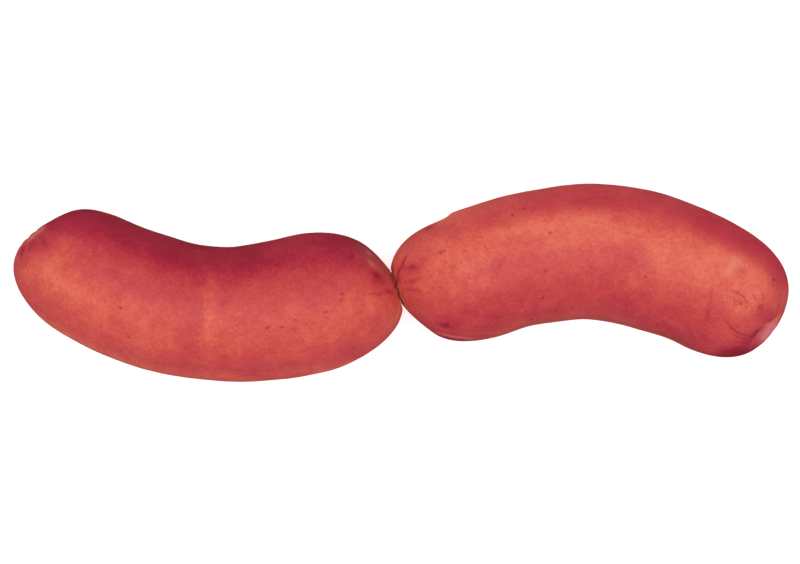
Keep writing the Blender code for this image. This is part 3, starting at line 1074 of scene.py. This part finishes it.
def casing_material(name, roughness):
    """Smoked casing: satin skin over soft meat, mottled finer than its points can hold, with tiny pores."""
    make = Nodes(name)
    place = make.add("ShaderNodeTexCoord").outputs["Object"]
    fine = make.noise(place, FINE_SIZE)
    finer = make.noise(place, FINER_SIZE, 1.0)
    tone = make.attribute("tone")
    for layer, change in ((fine, FINE_CHANGE), (finer, FINER_CHANGE)):
        tone = make.maths("ADD", tone, make.maths("MULTIPLY", make.maths("SUBTRACT", layer, 0.5), change))
    lines = make.lines(place, WRINKLE_TURN, WRINKLE_SIZE, WRINKLE_LINE)
    wrinkles = make.maths("MULTIPLY", lines, make.attribute("wrinkled"))
    tone = make.maths("SUBTRACT", tone, make.maths("MULTIPLY", wrinkles, WRINKLE_SHADE), clamp=True)
    colour = make.ramp(tone, CASING_TONES)
    # The brown layer is partly a painted reflection, the crimson partly painted shade, and the pale partly
    # painted highlights, rim light and reflections
    for layer, tint in (("crimson", CRIMSON_AND_SHADE), ("brown_and_reflection", BROWN_AND_REFLECTION), ("pale", PALE_AND_PAINTED_LIGHT), ("pink", PINK)):
        colour = make.mix(make.attribute(layer), colour, (*tint, 1.0))
    pore = make.maths("MULTIPLY", pores(make, place), PORE_DARKNESS)
    dark = make.maths("ADD", make.attribute("dark"), pore, clamp=True)
    colour = make.mix(dark, colour, (*MAROON, 1.0))
    grain = make.maths("ADD", fine, make.maths("MULTIPLY", finer, FINER_GRAIN))
    bump = make.add("ShaderNodeBump")
    make.link(make.maths("SUBTRACT", grain, wrinkles), bump.inputs["Height"])
    bump.inputs["Strength"].default_value = 1.0
    bump.inputs["Distance"].default_value = GRAIN_HEIGHT
    surface = make.surface.inputs
    make.link(colour, surface["Base Color"])
    make.link(bump.outputs["Normal"], surface["Normal"])
    surface["Roughness"].default_value = roughness
    surface["Specular IOR Level"].default_value = GLOSS
    surface["Subsurface Weight"].default_value = MEAT_SHARE
    surface["Subsurface Radius"].default_value = MEAT_RADIUS
    surface["Subsurface Scale"].default_value = MEAT_DEPTH
    return make.material


def link_piece(link, creases, dents, top_tone, pale, brown_and_reflection, crimson, named_specks, seed, offset):
    """One link as a piece, moved by offset, with its marks and its colours."""
    surface = link_surface(link, lambda grid, normals: mark_depth(grid + offset, normals, creases, dents))
    surface.points = surface.points + offset
    plan = seen(surface.points)
    top = rise(surface.up, TOP_FROM, TOP_TO)
    tone = casing_tone(surface, plan, top_tone, seed)
    # Painted shade: the casing is darkened towards a deep crimson down in its creases, pleats and dents
    tone += (FOLD_SHADE_TONE - tone) * FOLD_SHADE_SHARE * np.clip(surface.folds / FOLD_SHADE_FULL, 0.0, 1.0)
    # Pale scars and streaks, with painted highlights, rim light and reflections, and painted highlights
    # beside the creases
    light = pale(plan) + crease_highlights(plan, creases)
    colours = {
        "tone": np.clip(tone, 0.0, 1.0),
        # brown is partly a painted reflection, crimson partly painted shade, and pale partly painted light
        "brown_and_reflection": np.clip(brown_and_reflection(surface, plan), 0.0, 1.0) * top,
        "crimson": np.clip(crimson(surface, plan), 0.0, 1.0) * top,
        "pale": np.clip(light, 0.0, 1.0) * top,
        "pink": np.clip(patches(plan, PINK_PATCHES), 0.0, 1.0) * top,
        "wrinkled": np.clip(patches(plan, WRINKLED_PATCHES), 0.0, 1.0) * top,
        "dark": np.clip(specks(surface, plan, named_specks, seed), 0.0, 1.0),
    }
    mesh = closed_mesh(link.name + "_skin", surface.points, colours)
    material = casing_material(link.name + "_casing", LINK_ROUGHNESS)
    return add_piece(link.name, mesh, material)


def twist_piece(offset):
    """The twist as a piece: pale gathered casing."""
    grid = twist_grid() + offset
    flat = np.zeros(grid.shape[:2])
    colours = {"tone": flat + 1.0, "brown_and_reflection": flat, "pale": flat + 1.0, "dark": flat}
    colours |= {"crimson": flat, "pink": flat + TWIST_PINK, "wrinkled": flat}
    mesh = closed_mesh("casing_twist_skin", grid, colours)
    material = casing_material("twist_casing", TWIST_ROUGHNESS)
    return add_piece("casing_twist", mesh, material)


# Stage

FLOOR_HALF = 2.0
FLOOR_COLOUR = (0.72, 0.72, 0.72, 1.0)
FLOOR_ROUGHNESS = 0.9
FLOOR_GLOW = 0.6  # the floor is a lit white table, so that shadows stay faint
WHITE = (1.0, 1.0, 1.0, 1.0)
DOME_STRENGTH = 0.55
SOFTBOX_PLACE = (0.0, 0.0, 1.25)
SOFTBOX_TARGET = (0.0, 0.0, 0.02)
SOFTBOX_SIZE = 1.2
SOFTBOX_POWER = 12.8
CAMERA_PLACE = (-0.0003, 0.0003, EYE_HEIGHT)
LENS = 135.0


def floor_material():
    """Matt white that glows faintly."""
    material = bpy.data.materials.new("floor_white")
    material.use_nodes = True
    surface = material.node_tree.nodes["Principled BSDF"].inputs
    surface["Base Color"].default_value = FLOOR_COLOUR
    surface["Roughness"].default_value = FLOOR_ROUGHNESS
    surface["Specular IOR Level"].default_value = 0.0
    surface["Emission Color"].default_value = WHITE
    surface["Emission Strength"].default_value = FLOOR_GLOW
    return material


def add_floor():
    """A wide pale floor."""
    corners = [(FLOOR_HALF * x, FLOOR_HALF * y, 0.0) for x, y in ((-1, -1), (1, -1), (1, 1), (-1, 1))]
    mesh = bpy.data.meshes.new("floor")
    mesh.from_pydata(corners, [], [(0, 1, 2, 3)])
    mesh.materials.append(floor_material())
    floor = bpy.data.objects.new("floor", mesh)
    bpy.context.scene.collection.objects.link(floor)
    floor.visible_glossy = False
    return floor


def add_light(name, place, target, size, power):
    """A soft square light that the camera doesn't see."""
    data = bpy.data.lights.new(name, "AREA")
    data.shape = "SQUARE"
    data.size = size
    data.energy = power
    light = bpy.data.objects.new(name, data)
    light.location = place
    light.rotation_euler = (Vector(target) - Vector(place)).to_track_quat("-Z", "Y").to_euler()
    light.visible_camera = False
    bpy.context.scene.collection.objects.link(light)
    return light


def add_world(strength):
    """An even white dome of light, which glossy rays don't see."""
    world = bpy.data.worlds.new("dome")
    world.use_nodes = True
    background = world.node_tree.nodes["Background"].inputs
    background["Color"].default_value = WHITE
    background["Strength"].default_value = strength
    world.cycles_visibility.glossy = False
    bpy.context.scene.world = world


def add_camera():
    """Straight above the string."""
    data = bpy.data.cameras.new("camera")
    data.lens = LENS
    data.sensor_width = 36.0
    data.clip_start = 0.01
    camera = bpy.data.objects.new("camera", data)
    camera.location = CAMERA_PLACE
    bpy.context.scene.collection.objects.link(camera)
    bpy.context.scene.camera = camera


def main():
    low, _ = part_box("link_left")
    left_grid = link_surface(LEFT_LINK, lambda grid, normals: np.zeros(grid.shape[:2])).points
    offset = np.array([low[0] - left_grid[..., 0].min(), low[1] - left_grid[..., 1].min(), 0.0])
    link_piece(
        LEFT_LINK,
        creases=LEFT_CREASES,
        dents=LEFT_DENTS,
        top_tone=left_tone,
        pale=left_pale_and_reflection,
        brown_and_reflection=left_brown_and_reflection,
        crimson=left_crimson,
        named_specks=LEFT_SPECKS,
        seed=100,
        offset=offset,
    )
    link_piece(
        RIGHT_LINK,
        creases=RIGHT_CREASES,
        dents=RIGHT_DENTS,
        top_tone=right_tone,
        pale=right_pale_and_painted_light,
        brown_and_reflection=right_edge_reflection,
        crimson=right_crimson_and_shade,
        named_specks=RIGHT_SPECKS,
        seed=200,
        offset=offset,
    )
    twist_piece(offset)
    add_floor()
    add_world(DOME_STRENGTH)
    add_light("softbox", SOFTBOX_PLACE, SOFTBOX_TARGET, SOFTBOX_SIZE, SOFTBOX_POWER)
    add_camera()
    bpy.context.scene.view_settings.view_transform = "Standard"


main()
